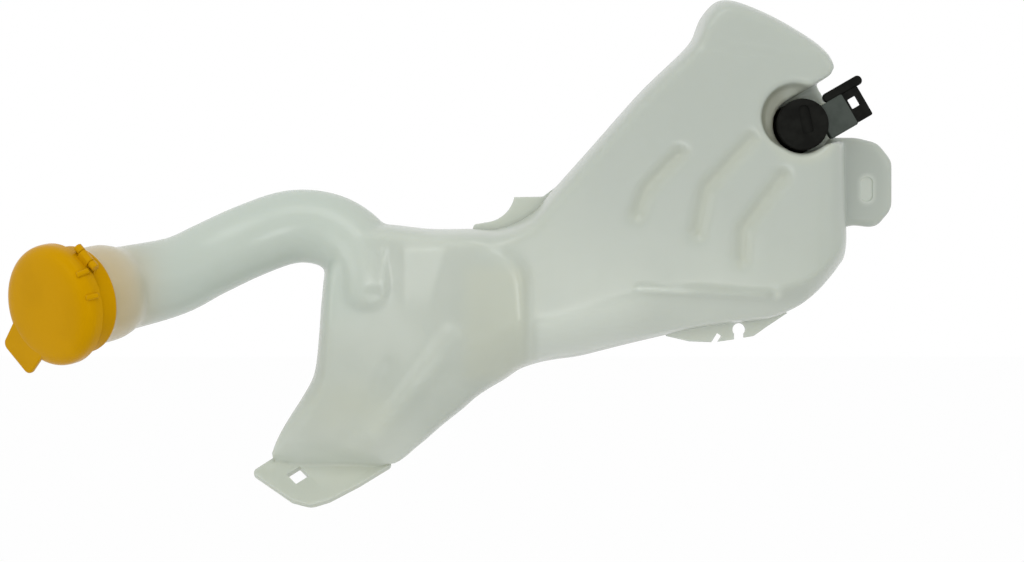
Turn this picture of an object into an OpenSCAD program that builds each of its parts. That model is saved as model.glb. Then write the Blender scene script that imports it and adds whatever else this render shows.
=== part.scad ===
// Windscreen washer reservoir: a blown tank with a long filler neck, a hinged
// filler cap and an electric pump that is pushed into a pocket of the tank.
// X runs along the tank, Y from the front face to the back, Z up, in millimetres.
// The origin is the middle of the square hole in the mounting foot.

/* [Tank] */
// Wall of the blown tank
wall = 2.5; // [2.2:0.1:3]
// Side of one square of the grid that the outline is drawn on
square = 10; // [9.6:0.1:10.4]
// Depth of the main chamber in front of the parting plane
front_depth = 45; // [42:1:50]
// Depth of the main chamber behind the parting plane
back_depth = 44; // [42:1:50]
// Width of the rounding along the upper edge
upper_round = 10; // [7:1:14]
// Width of the bevel along the lower edge
lower_round = 26; // [20:1:30]
// Radius of the round bottomed grooves in the front face
groove_radius = 5; // [4:0.5:7]
// Depth of those grooves
groove_depth = 3.4; // [2:0.2:4]

/* [Foot and lugs] */
// Lean of the foot plate back from level
foot_tilt = 46; // [40:1:52]
// Thickness of the foot plate
foot_thick = 3.6; // [3:0.2:5]
// Side of the square hole in the foot
foot_hole = 9; // [7:0.2:10.4]
// Thickness of the locating lug at the right end
lug_thick = 11; // [8:0.5:14]
// Depth of the dimple in each face of the lug
dimple_depth = 2; // [1:0.2:3]
// Thickness of the thin flanges on the parting line
flange_thick = 3.2; // [2.4:0.2:5]
// Bore of the round hose clip in the bottom flange
clip_bore = 7.2; // [6.2:0.2:8]

/* [Filler neck] */
// Outside diameter of the neck tube
neck_od = 41; // [38:0.5:43]
// Outside diameter of the collar under the cap
collar_od = 52; // [50:0.5:54]
// Turn of the filler mouth towards the front
mouth_turn = 55; // [52:1:58]
// Dip of the filler mouth below level
mouth_dip = 10; // [8:1:12]
// Length of the plain collar
collar_length = 27; // [25:1:29]
// Height of the rim of the mouth above the split of the cap
rim_height = 6; // [5:0.5:7]

/* [Cap] */
// Diameter of the lid
lid_od = 64; // [61:1:67]
// Height of the lid
lid_height = 11.5; // [11:0.5:14]
// Wall of the lid and of its skirt
lid_wall = 2.2; // [1.6:0.1:2.4]
// Height of the ring that is snapped on the collar
ring_height = 13; // [11:0.5:15]
// Wall of the ring
ring_wall = 1.9; // [1.6:0.1:2.2]
// Length of the finger tab beyond the lid
tab_length = 8.5; // [5:0.5:10]
// Width of the finger tab
tab_width = 24; // [18:1:28]
// Turn of the finger tab about the mouth
tab_roll = -45; // [-60:1:-30]

/* [Pump] */
// Diameter of the pump body
pump_od = 28; // [27.6:0.2:30]
// Bore of the inlet spigot
inlet_bore = 6.4; // [5:0.2:7]
// Outside diameter of the outlet nozzle
outlet_od = 5.2; // [4.8:0.2:6]
// Bore of the outlet nozzle
outlet_bore = 3; // [2:0.2:3.4]
// Diameter of the motor shaft
shaft_d = 2.3; // [2:0.1:2.6]
// Number of impeller blades
blades = 5; // [3:1:7]
// Number of armature poles
poles = 3; // [3:1:5]
// Lean of the plug socket above level
plug_angle = 30; // [26:1:34]

/* [Hidden] */
$fn = 64;
eps = 0.01;
slide = 0.05;
milky = [0.78, 0.8, 0.76];
yellow = [0.82, 0.6, 0.06];
black = [0.12, 0.12, 0.11];
steel = [0.6, 0.61, 0.63];
copper = [0.72, 0.42, 0.24];
bronze = [0.66, 0.5, 0.3];
rubber = [0.16, 0.16, 0.17];

// Scale of the flat plates on the parting plane, which follow the grid
grid = square / 10;

// Sections of the tank from the foot to the right end: left or top point and
// right or bottom point of the outline in grid squares, then the share of the
// front depth on the leg and on the chamber, the share of the back depth, and
// how far the lower front edge is a flat bevel
sections = [
    [-1.6, 1.2, 5.4, 0.7, 0.05, 1, 0.3, 0.2],
    [-1.1, 2.3, 6, 1.1, 0.18, 1, 0.38, 0.2],
    [-0.45, 3.4, 6.55, 1.6, 0.31, 1, 0.45, 0.2],
    [0.35, 4.65, 7.05, 2, 0.4, 1, 0.5, 0.5],
    [0.95, 5.9, 7.5, 2.4, 0.45, 1, 0.55, 0.5],
    [1.2, 7.95, 7.95, 2.8, 0.49, 1, 0.6, 0.5],
    [1.35, 9.9, 8.5, 3.25, 0.51, 1, 0.64, 0.5],
    [1.7, 12.15, 9.2, 3.8, 0.53, 1, 0.66, 0.5],
    [2.9, 13.9, 10, 4.5, 0.57, 1, 0.68, 0.5],
    [4.9, 14.15, 10.75, 5, 0.64, 1, 0.72, 0.35],
    [7.4, 13.9, 11.6, 5.5, 0.79, 0.95, 0.78, 0.35],
    [9.6, 13.9, 12.4, 6.05, 0.93, 0.93, 0.86, 0.35],
    [11.3, 13.9, 13.4, 6.4, 1.02, 0.92, 0.93, 0.35],
    [13, 14.7, 14.4, 6.6, 1.04, 0.92, 1, 0.6],
    [14.2, 16, 15.8, 6.8, 1.04, 0.92, 1, 0.9],
    [16.35, 18.4, 18, 7.35, 1.04, 0.92, 1, 0.9],
    [19.15, 21.55, 20.3, 7.9, 1.04, 0.92, 1, 0.9],
    [21.8, 24.15, 22.3, 8.35, 1.04, 0.92, 1, 0.9],
    [22.6, 25.8, 24.1, 8.6, 1.04, 0.92, 1, 0.9],
    [23.7, 26.6, 25, 8.7, 1.04, 0.92, 1, 0.9],
    [25.85, 25.9, 26.3, 8.9, 1.04, 0.92, 1, 0.9],
    [28.05, 24.65, 27.7, 9.5, 1.04, 0.92, 1, 0.9],
    [29.15, 23.75, 28.75, 10.3, 1.04, 0.91, 0.98, 0.7],
    [29.6, 22.8, 29.6, 11.2, 1.04, 0.83, 0.89, 0.5],
    [29.9, 21.4, 30.1, 11.8, 1.04, 0.7, 0.75, 0.3],
    [30.2, 20, 30.35, 12.05, 1.04, 0.51, 0.55, 0.2],
    [30.35, 19.2, 30.4, 12.3, 1.04, 0.2, 0.22, 0.1]];

// Raised panel at the end of the leg: its right edge, its top and its corner
panel_right = 12.7 * square;
panel_top = 12.65 * square;
panel_corner = 2 * square;
panel_edge = 3.5;

// Neck centreline from the shoulder to the collar, in grid squares
neck_squares = [[3.9, -0.6, 11.9], [3, -0.2, 13.1], [1.5, 0, 13.9], [-0.45, 0, 14], [-2.7, -0.3, 13.22],
    [-4.8, -1.1, 12.18], [-6.6, -2.3, 11.28]];
mouth = square * [-11.6, -7.6, 9.8];
mouth_axis = -[cos(mouth_dip) * cos(mouth_turn), cos(mouth_dip) * sin(mouth_turn), sin(mouth_dip)];
neck_r = neck_od / 2;
collar_r = collar_od / 2;
collar_bore = collar_od - 2 * wall;
cone_length = collar_r - neck_r + 6;
neck_joint = collar_length + cone_length;
neck_start = square * [4.1, -0.9, 10.4];
neck_path = concat([neck_start + [0.4, 0, -9], neck_start], square * neck_squares,
    [mouth - (neck_joint + 1) * mouth_axis, mouth - (neck_joint - 7) * mouth_axis]);

// Pump seat: the floor of the pocket, and the stack of the pump above it
pump_x = 27.7 * square;
pump_z = 19.45 * square;
floor_y = 10;
pump_r = pump_od / 2;
pocket_r = pump_r + 1.5;
pocket_reach = front_depth + back_depth;
floor_reach = 10.5;
grommet_flange = 2.5;
volute_top = 14;
motor_top = 40;
pump_top = 50;
spigot_r = inlet_bore / 2 + 1.8;
grommet_r = spigot_r + 3;
spigot_end = -10;
shaft_r = shaft_d / 2;
bush_r = shaft_r + 1.4;
seal_r = shaft_r + 2;
can_r = pump_r - 1.3;
magnet_r = can_r - 1.2;
core_r = magnet_r - 3;
comm_r = 4;
chamber_r = 10;
nozzle_z = 7;
nozzle_tip = 27;

function smooth(a, b, x) = let (t = max(0, min(1, (x - a) / (b - a)))) t * t * (3 - 2 * t);
function mix(a, b, t) = a + (b - a) * t;
function unit(v) = v / norm(v);
function spline_bit(a, b, c, d, t) =
    0.5 * (2 * b + (c - a) * t + (2 * a - 5 * b + 4 * c - d) * t * t + (3 * b - a - 3 * c + d) * t * t * t);
function spline(list, u) =
    let (last = len(list) - 1, i = max(0, min(floor(u), last - 1)))
    spline_bit(list[max(i - 1, 0)], list[i], list[i + 1], list[min(i + 2, last)], u - i);

// One corner of an outline rounded by an arc
function corner(a, b, c, r) =
    let (u = unit(a - b), v = unit(c - b), half = acos(u * v) / 2, hub = b + unit(u + v) * r / sin(half),
        p = b + u * r / tan(half) - hub, q = b + v * r / tan(half) - hub,
        start = atan2(p.y, p.x), turn = (atan2(q.y, q.x) - start + 540) % 360 - 180)
    [for (i = [0:6]) hub + r * [cos(start + turn * i / 6), sin(start + turn * i / 6)]];
function rounded(list) =
    let (n = len(list), flat = [for (p = list) [p.x, p.y]])
    [for (i = [0:n - 1]) each list[i][2] > 0
        ? corner(flat[(i + n - 1) % n], flat[i], flat[(i + 1) % n], list[i][2]) : [flat[i]]];

// Half of a section: distance from the top point and share of the depth, with a
// quarter of an ellipse at the top edge, a straight run, and a lower edge between
// a quarter of an ellipse and a flat bevel
function lower_edge(t, bevel) =
    let (lip = min(t / 0.3, 1), slope = max(0, (t - 0.3) / 0.7))
    [mix(1 - cos(90 * t), 0.1 * lip * lip + 0.9 * slope, bevel),
        mix(sin(90 * t), 0.5 * lip + 0.5 * slope, bevel)];
function half_section(length, upper, lower, bevel, steps, runs) =
    let (fit = min(1, 0.9 * length / (upper + lower)), u = upper * fit, l = lower * fit)
    concat([for (i = [0:steps]) [u * (1 - cos(90 * i / steps)), sin(90 * i / steps)]],
        [for (i = [1:runs - 1]) [mix(u, length - l, i / runs), 1]],
        [for (i = [steps:-1:0]) let (e = lower_edge(i / steps, bevel)) [length - l * e[0], e[1]]]);

// Share of the raised panel at a point of the front face
function panel(x, z) =
    let (qx = x - panel_right + panel_corner, qz = z - panel_top + panel_corner)
    1 - smooth(-panel_edge, panel_edge, norm([max(qx, 0), max(qz, 0)]) + min(max(qx, qz), 0) - panel_corner);

// One closed section of the tank at station u, pulled in by the given amount; the
// inside has no raised panel
function tank_ring(u, inset, steps, runs) =
    let (row = spline(sections, u), ahead = spline(sections, u + 0.1), behind = spline(sections, u - 0.1),
        top0 = square * [row[0], row[1]], low0 = square * [row[2], row[3]], across = unit(low0 - top0),
        run_t = unit([ahead[0] - behind[0], ahead[1] - behind[1]]),
        run_l = unit([ahead[2] - behind[2], ahead[3] - behind[3]]),
        cut_t = inset / max(0.5, abs(run_t.x * across.y - run_t.y * across.x)),
        cut_l = inset / max(0.5, abs(run_l.x * across.y - run_l.y * across.x)),
        top = top0 + across * cut_t, low = low0 - across * cut_l, length = norm(low - top),
        flat = max(1, front_depth * min(row[4], row[5]) - inset), leg = max(1, front_depth * row[4] - inset),
        back = max(1, back_depth * row[6] - inset),
        fore = half_section(length, upper_round - inset, lower_round - inset, row[7], steps, runs),
        aft = half_section(length, lower_round * 0.6 - inset, lower_round * 0.6 - inset, 0, steps, runs),
        count = len(fore))
    concat([for (p = fore) let (x = top.x + across.x * p[0], z = top.y + across.y * p[0])
            [x, -mix(flat, leg, inset > 0 ? 0 : panel(x, z)) * p[1], z]],
        [for (i = [count - 2:-1:1]) let (p = aft[i])
            [top.x + across.x * p[0], back * p[1], top.y + across.y * p[0]]]);

// One round section of the neck at station u of its path
function neck_ring(u, r, sides) =
    let (c = spline(neck_path, u), along = unit(spline(neck_path, u + 0.05) - spline(neck_path, u - 0.05)),
        side = unit(cross(along, [0, 1, 0.2])), up = cross(along, side))
    [for (i = [0:sides - 1]) c + r * (side * cos(360 * i / sides) + up * sin(360 * i / sides))];

// Skin over a row of closed sections with a flat face at each end
module skin(rings) {
    n = len(rings[0]);
    m = len(rings);
    polyhedron(
        points = [for (ring = rings) each ring],
        faces = concat([[for (j = [0:n - 1]) j]], [[for (j = [n - 1:-1:0]) (m - 1) * n + j]],
            [for (i = [0:m - 2], j = [0:n - 1]) let (a = i * n + j, b = i * n + (j + 1) % n)
                each [[a, a + n, b + n], [a, b + n, b]]]));
}

// Places children in the frame of the filler mouth: Z out of the mouth, X to the tab
module at_mouth() {
    translate(mouth) rotate([0, 90 + mouth_dip, 180 + mouth_turn]) rotate([0, 0, tab_roll]) children();
}

// Places children in the frame of the pump: Z out of the pocket from its floor
module at_pump() {
    translate([pump_x, floor_y, pump_z]) rotate([90, 0, 0]) children();
}

// Places children in the frame of the plug socket: X along the socket
module at_plug() {
    at_pump() rotate([0, 0, plug_angle]) children();
}

// A flat plate on the parting plane, drawn in X and Z
module parting_plate(thick) {
    translate([0, thick / 2, 0]) rotate([90, 0, 0]) linear_extrude(thick) children();
}

// A ring turned about Z
module tube(outer, inner, low, high) {
    rotate_extrude() translate([inner, low]) square([outer - inner, high - low]);
}

last_section = len(sections) - 1;

module body_outside() {
    skin([for (i = [0:1:last_section * 2]) tank_ring(i / 2, 0, 4, 6)]);
}

module body_inside() {
    skin([for (i = [0.25:1:last_section - 0.9]) tank_ring(i, wall, 3, 3)]);
}

module neck_outside() {
    n = len(neck_path) - 1;
    skin(concat([neck_ring(0.05, neck_r * 0.6, 24), neck_ring(0.3, neck_r * 0.92, 24)],
        [for (i = [1:0.5:n]) neck_ring(i, neck_r, 24)]));
}

module neck_inside() {
    n = len(neck_path) - 1;
    skin(concat([neck_ring(0.3, neck_r * 0.6 - wall, 18), neck_ring(0.6, neck_r * 0.92 - wall, 18)],
        [for (i = [1.2:0.7:n]) neck_ring(i, neck_r - wall, 18)]));
}

// Height at which the cone ends and the straight collar starts
collar_foot = -collar_length + 1;

// Cone that widens the neck to the collar
module collar_cone() {
    rotate_extrude()
        polygon([[0, -neck_joint], [neck_r + 0.25, -neck_joint], [collar_r, -collar_length],
            [collar_r, collar_foot], [0, collar_foot]]);
}

// Collar of the mouth above the cone, with a snap groove for the cap ring and a stop bead
module collar() {
    groove = -ring_height / 2;
    rotate_extrude()
        polygon([[0, collar_foot], [collar_r, collar_foot],
            [collar_r, -ring_height - 2.6], [collar_r + 1, -ring_height - 2], [collar_r + 1, -ring_height - 0.6],
            [collar_r, -ring_height - 0.4], [collar_r, groove - 1.4], [collar_r - 0.7, groove - 0.8],
            [collar_r - 0.7, groove + 0.8], [collar_r, groove + 1.4], [collar_r, rim_height - 0.6],
            [collar_r - 0.6, rim_height], [0, rim_height]]);
}

module collar_inside() {
    rotate_extrude()
        polygon([[0, -neck_joint - 1], [neck_r - wall, -neck_joint - 1], [neck_r - wall, -neck_joint + 1],
            [collar_bore / 2, collar_foot], [collar_bore / 2, rim_height - 0.8],
            [collar_bore / 2 + 0.8, rim_height + eps], [0, rim_height + eps]]);
}

// Foot plate that leans back, with the heel that carries the leg on it
module foot() {
    rotate([foot_tilt, 0, 0])
        translate([0, 0, -foot_thick / 2]) linear_extrude(foot_thick)
            polygon(rounded([[-26.5, 2.5, 3], [-2, -17.5, 6], [9, -21, 9], [19, -17, 7], [35, -6, 12],
                [53, 8.5, 3], [48, 14.5, 2], [-13, 14.5, 2]]));
    rotate([90, 0, 90]) translate([0, 0, -12]) linear_extrude(58)
        polygon([[5, 7.5], [-3, 13], [-8, 20], [12, 20], [12.5, 11]]);
}

module foot_hole_cut() {
    rotate([foot_tilt, 0, 0]) rotate([0, 0, 40])
        cube([foot_hole, foot_hole, foot_thick + 1], center = true);
}

// Locating lug at the right end
module lug() {
    parting_plate(lug_thick)
        polygon(grid * rounded([[296, 190, 0], [312, 190, 4], [324, 187, 9], [332, 177, 8], [332, 150, 10],
            [323, 139.5, 7], [311, 141, 6], [296, 138, 0]]));
}

// Long dimple in each face of the lug
module lug_dimples() {
    for (side = [-1, 1])
        translate([grid * 317, side * lug_thick / 2, grid * 160]) rotate([90, 0, 0]) {
            translate([-3.4, -6, -dimple_depth]) cube([6.8, 12, 2 * dimple_depth]);
            for (end = [-6, 6])
                translate([0, end, -dimple_depth]) cylinder(r = 3.38, h = 2 * dimple_depth);
        }
}

// Step flange on the top edge
module step_flange() {
    difference() {
        parting_plate(flange_thick)
            polygon(grid * rounded([[96, 132, 0], [98.5, 141.5, 2], [104, 142.3, 0], [104, 156.5, 0],
                [137, 157, 3], [149, 166, 0], [150, 150, 0], [120, 130, 0]]));
        translate([grid * 103.5, 20, grid * 160.5]) rotate([90, 0, 0]) cylinder(r = grid * 18, h = 40);
    }
}

// Bottom flange of the tank with two clips for a hose, in a node of its own so that they stay open
module clip_flange() {
    color(milky) difference() {
        parting_plate(flange_thick)
            polygon(grid * rounded([[206, 79, 0], [219, 76, 4], [233, 75.5, 2], [243, 77, 2], [255, 79, 4],
                [262, 84, 8], [274, 92, 0], [262, 95, 0], [206, 90, 0]]));
        translate([grid * 246.7, 10, grid * 82.6]) rotate([90, 0, 0]) cylinder(d = clip_bore, h = 20);
        translate([grid * 246.7 - clip_bore * 0.38, -10, grid * 70]) cube([clip_bore * 0.76, 20, grid * 12.6]);
        translate([grid * 233.6, -10, grid * 76.5]) rotate([0, 32, 0]) translate([-1.5, 0, -8]) cube([3, 20, 12]);
        body_outside();
    }
}

// Round bottomed grooves of the front face, each bent near its lower end
groove_lines = [
    [[21.2, 18.3], [19.3, 16.1], [18.8, 14.7]],
    [[24.9, 18.6], [22.5, 16], [22, 13.6]],
    [[26.6, 16.6], [24.5, 13.8], [24.4, 12.2]]];

module grooves(radius) {
    depth_y = -front_depth * sections[16][5] - groove_radius + groove_depth;
    for (line = groove_lines) {
        for (i = [0:1]) {
            a = square * line[i];
            b = square * line[i + 1];
            translate([a.x, depth_y, a.y]) rotate([0, atan2(b.x - a.x, b.y - a.y), 0])
                cylinder(r = radius, h = norm(b - a));
        }
        for (p = line)
            translate([square * p.x, depth_y, square * p.y]) sphere(r = radius + 0.12);
    }
}

// Pocket for the pump, open to the right for its plug; grow adds to every face
module pocket(grow) {
    at_pump() rotate_extrude()
        polygon([[0, -grow], [pocket_r + grow, -grow], [pocket_r + 0.6 + grow, pump_top - 14],
            [pocket_r + 2 + grow, pump_top - 6], [pocket_r + 4.5 + grow, pump_top],
            [pocket_r + 9 + grow, pump_top + 5], [pocket_r + 9 + grow, pocket_reach], [0, pocket_reach]]);
    at_plug() {
        translate([0, -pocket_r - grow, -grow]) cube([pocket_reach, 2 * (pocket_r + grow), pocket_reach]);
        translate([pocket_r + floor_reach - grow, -pocket_r - grow, -pocket_reach])
            cube([pocket_reach, 2 * (pocket_r + grow), pocket_reach + pump_r]);
    }
}

module tank() {
    color(milky)
        difference() {
            union() {
                body_outside();
                neck_outside();
                at_mouth() collar_cone();
                foot();
                lug();
                step_flange();
            }
            difference() {
                union() {
                    body_inside();
                    neck_inside();
                }
                pocket(wall);
                grooves(groove_radius + wall);
            }
            at_mouth() collar_inside();
            pocket(0);
            grooves(groove_radius);
            foot_hole_cut();
            lug_dimples();
            at_pump() translate([0, 0, -wall - 1]) cylinder(r = grommet_r, h = wall + 2);
        }
}

// Straight collar of the tank, in a node of its own so that its bore stays open
module filler_collar() {
    color(milky) at_mouth() difference() {
        collar();
        collar_inside();
    }
}

// The cap: a ring that is snapped on the collar and a lid hinged to it
hinge_r = lid_od / 2 + 2.4;
knuckle_r = 2.2;
pin_r = 0.9;
split = 0.3;

module cap_ring() {
    inner = collar_r + slide;
    mid = -ring_height / 2;
    color(yellow) at_mouth() {
        rotate_extrude()
            polygon([[inner, -ring_height], [inner + ring_wall, -ring_height],
                [inner + ring_wall + 0.5, -ring_height + 0.5], [inner + ring_wall + 0.5, -ring_height + 2],
                [inner + ring_wall, -ring_height + 2.5],
                [inner + ring_wall, -split], [inner, -split], [inner, mid + 1.2], [inner - 0.6, mid + 0.6],
                [inner - 0.6, mid - 0.6], [inner, mid - 1.2]]);
        for (y = [4, -8])
            translate([-hinge_r, y, 0]) {
                translate([0, 0, -knuckle_r]) cube([hinge_r - inner - 1, 4, knuckle_r - 0.5]);
                rotate([-90, 0, 0]) cylinder(r = knuckle_r, h = 4);
            }
        translate([-hinge_r, -4.5, 0]) rotate([-90, 0, 0]) cylinder(r = pin_r, h = 9);
    }
}

module cap_lid() {
    outer = lid_od / 2;
    inner = outer - lid_wall;
    under = lid_height - lid_wall;
    plug_r = collar_bore / 2 - 1.1;
    edge = 3;
    color(yellow) at_mouth() difference() {
        union() {
            rotate_extrude()
                polygon(concat([[0, under], [plug_r - 2, under], [plug_r - 2.6, 0.8], [plug_r - 1.2, 0.8],
                    [plug_r, rim_height - 0.5], [plug_r, rim_height + 0.1], [collar_r - 0.2, rim_height + 0.1],
                    [collar_r - 0.2, under], [inner, under], [inner, split], [outer, split]],
                    [for (i = [0:5]) [outer - edge * (1 - cos(18 * i)), lid_height - edge * (1 - sin(18 * i))]],
                    [[0, lid_height]]));
            translate([0, 0, lid_height - 4.4]) linear_extrude(3)
                polygon(rounded([[inner + 0.5, -tab_width / 2 - 1, 0], [outer + tab_length, -tab_width / 2, 4],
                    [outer + tab_length, tab_width / 2, 4], [inner + 0.5, tab_width / 2 + 1, 0]]));
            translate([-hinge_r, -3.8, 0.5]) cube([hinge_r - inner - 0.6, 7.6, knuckle_r - 0.5]);
            translate([-hinge_r, -3.8, 0]) rotate([-90, 0, 0]) cylinder(r = knuckle_r, h = 7.6);
        }
        translate([-hinge_r, -5, 0]) rotate([-90, 0, 0]) cylinder(r = pin_r + slide, h = 10);
    }
}

// Rubber grommet that seals the pump in the wall of the tank
module pump_grommet() {
    back = -wall - slide;
    color(rubber) at_pump() rotate_extrude()
        polygon([[spigot_r + slide, back - 3.5], [spigot_r + 1.6, back - 3.5], [grommet_r + 1.4, back - 0.8],
            [grommet_r + 1.4, back], [grommet_r - slide, back], [grommet_r - slide, slide],
            [grommet_r + 2.5, slide], [grommet_r + 2.5, grommet_flange - slide],
            [spigot_r + slide, grommet_flange - slide]]);
}

// Strainer cup pushed on the end of the inlet spigot
module inlet_strainer() {
    r = spigot_r + 1.2;
    low = spigot_end - 7;
    color(milky) at_pump() difference() {
        translate([0, 0, low]) cylinder(r = r, h = 10.9);
        translate([0, 0, low + 1.2]) cylinder(r = spigot_r + slide, h = 12);
        for (i = [0:2])
            rotate([0, 0, 60 * i]) translate([-r - 1, -1.5, low + 1.8]) cube([2 * r + 2, 3, 3.6]);
    }
}

// Pump body with the inlet spigot, the impeller chamber and the outlet nozzle
module pump_volute() {
    color(black) difference() {
        union() {
            at_pump() {
                translate([0, 0, grommet_flange]) cylinder(r = pump_r, h = volute_top - grommet_flange - slide);
                translate([0, 0, spigot_end]) cylinder(r = spigot_r, h = 20);
            }
            at_plug() {
                translate([8, 0, nozzle_z]) rotate([0, 90, 0]) cylinder(d = outlet_od, h = nozzle_tip - 8);
                translate([12, 0, nozzle_z]) rotate([0, 90, 0]) cylinder(d = outlet_od + 2, h = 3.5);
            }
        }
        at_pump() {
            translate([0, 0, spigot_end - 1]) cylinder(d = inlet_bore, h = 20);
            translate([0, 0, grommet_flange + 2]) cylinder(r = chamber_r, h = 20);
            translate([0, 0, 10]) cylinder(r = pump_r - 2, h = 20);
        }
        at_plug() translate([6, 0, nozzle_z]) rotate([0, 90, 0]) cylinder(d = outlet_bore, h = 30);
    }
}

// Sealing ring between the pump body and the motor housing
module volute_seal() {
    color(rubber) at_pump() tube(pump_r - 2 - slide, pump_r - 3.1, 11.1, 12.9);
}

// Motor housing: plug that closes the chamber, flange and sleeve
module motor_housing() {
    color(black) at_pump() rotate_extrude()
        polygon([[shaft_r + 0.5, 10.05], [pump_r - 2 - slide, 10.05], [pump_r - 2 - slide, 11],
            [pump_r - 3.15, 11], [pump_r - 3.15, 13], [pump_r - 2 - slide, 13], [pump_r - 2 - slide, volute_top],
            [pump_r, volute_top], [pump_r, motor_top - slide], [can_r + slide, motor_top - slide],
            [can_r + slide, 17], [bush_r + slide, 17], [bush_r + slide, 14.2], [seal_r + slide, 14.1],
            [seal_r + slide, 11.4], [shaft_r + 0.5, 11.4]]);
}

// Steel ring that closes the field of the magnets
module flux_ring() {
    color(steel) at_pump() tube(can_r, can_r - 1.2, 17.1, 36);
}

module magnet(turn) {
    at_pump() rotate([0, 0, turn]) translate([0, 0, 18.5])
        rotate_extrude(angle = 130) translate([core_r + 0.6, 0]) square([magnet_r - core_r - 0.65, 15]);
}

module magnet_upper() {
    color(black) magnet(25);
}

module magnet_lower() {
    color(black) magnet(205);
}

// Laminated core with one head for each pole
module armature_core() {
    color(steel) at_pump() translate([0, 0, 20]) difference() {
        union() {
            cylinder(r = 3.4, h = 12);
            for (i = [0:poles - 1])
                rotate([0, 0, 360 * i / poles]) {
                    translate([0, -1.2, 0]) cube([core_r - 1, 2.4, 12]);
                    intersection() {
                        difference() {
                            cylinder(r = core_r, h = 12);
                            translate([0, 0, -1]) cylinder(r = core_r - 1.6, h = 14);
                        }
                        translate([0, -core_r * 0.62, 0]) cube([core_r + 1, core_r * 1.24, 12]);
                    }
                }
        }
        translate([0, 0, -1]) cylinder(r = shaft_r, h = 14);
    }
}

// One coil of wire about each pole of the core
module armature_windings() {
    half = 2.7;
    root = 3.8;
    tip = sqrt(pow(core_r - 1.7, 2) - half * half);
    color(copper) at_pump() difference() {
        union()
            for (i = [0:poles - 1])
                rotate([0, 0, 360 * i / poles]) translate([root, -half, 18.4]) cube([tip - root, 2 * half, 15.2]);
        for (i = [0:poles - 1])
            rotate([0, 0, 360 * i / poles]) translate([0, -1.25, 19.95]) cube([core_r, 2.5, 12.1]);
    }
}

// Commutator with a slot between the bars
module commutator() {
    color(copper) at_pump() difference() {
        translate([0, 0, 34.2]) cylinder(r = comm_r, h = 4.8);
        translate([0, 0, 34]) cylinder(r = shaft_r, h = 6);
        for (i = [0:poles - 1])
            rotate([0, 0, 360 * (i + 0.5) / poles]) translate([comm_r - 0.8, -0.25, 34]) cube([2, 0.5, 6]);
    }
}

module motor_shaft() {
    color(steel) at_pump() translate([0, 0, 5.2]) cylinder(r = shaft_r, h = 42);
}

module front_bush() {
    color(bronze) at_pump() tube(bush_r, shaft_r + slide, 14.3, 17);
}

module rear_bush() {
    color(bronze) at_pump() tube(bush_r, shaft_r + slide, 44.2, 47.2);
}

module shaft_seal() {
    color(rubber) at_pump() tube(seal_r, shaft_r + slide, 11.5, 14);
}

// Impeller: a back plate, a hub and straight blades
module impeller() {
    color(black) at_pump() difference() {
        union() {
            rotate([0, 0, 20]) translate([0, 0, 4.8]) cylinder(r = 3.2, h = 4);
            rotate([0, 0, 20]) translate([0, 0, 8.6]) cylinder(r = chamber_r - 1.5, h = 1);
            for (i = [0:blades - 1])
                rotate([0, 0, 360 * i / blades]) translate([2, -0.6, 5]) cube([chamber_r - 3.8, 1.2, 4]);
        }
        translate([0, 0, 5.2]) cylinder(r = shaft_r, h = 6);
    }
}

// Board with the two brush guides
module brush_plate() {
    color(bronze) at_pump() difference() {
        union() {
            translate([0, 0, motor_top - 1.4]) cylinder(r = can_r, h = 1.4 - slide);
            for (side = [0, 180])
                rotate([0, 0, side]) translate([comm_r + 0.8, -2.6, 35]) cube([6.4, 5.2, 4.6]);
        }
        translate([0, 0, 34]) cylinder(r = comm_r + 0.5, h = 8);
        for (side = [0, 180])
            rotate([0, 0, side]) translate([comm_r, -1.55, 35.6]) cube([6.4, 3.1, 2.7]);
    }
}

module brush(turn) {
    at_pump() rotate([0, 0, turn]) translate([comm_r + slide, -1.5, 35.65]) cube([3.4, 3, 2.6]);
}

module brush_left() {
    color(rubber) brush(180);
}

module brush_right() {
    color(rubber) brush(0);
}

// Coil spring behind a brush, drawn as a stack of turns
module brush_spring(turn) {
    at_pump() rotate([0, 0, turn]) translate([comm_r + 3.5, 0, 36.95]) rotate([0, 90, 0]) rotate_extrude()
        polygon([for (i = [0:6]) [i % 2 == 0 ? 1.2 : 0.8, 0.48 * i],
            for (i = [6:-1:0]) [i % 2 == 0 ? 0.8 : 0.4, 0.48 * i]]);
}

module brush_spring_left() {
    color(steel) brush_spring(180);
}

module brush_spring_right() {
    color(steel) brush_spring(0);
}

// Contact blade of the plug with the leg that reaches down to the brush board
plug_mid = -4.5;
plug_low = motor_top - 1.6;
plug_high = motor_top + 7.4;
plug_tip = pump_r + 13;
blade_z = motor_top + 3.6;
blade_root = pump_r - 8.4;

module terminal(side) {
    at_plug() {
        translate([blade_root, plug_mid + side * 4.4 - 1.4, blade_z - 0.4]) cube([17.4, 2.8, 0.8]);
        translate([blade_root, plug_mid + side * 4.4 - 1.4, motor_top]) cube([0.8, 2.8, blade_z - motor_top]);
    }
}

module terminal_left() {
    color(bronze) terminal(1);
}

module terminal_right() {
    color(bronze) terminal(-1);
}

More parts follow.
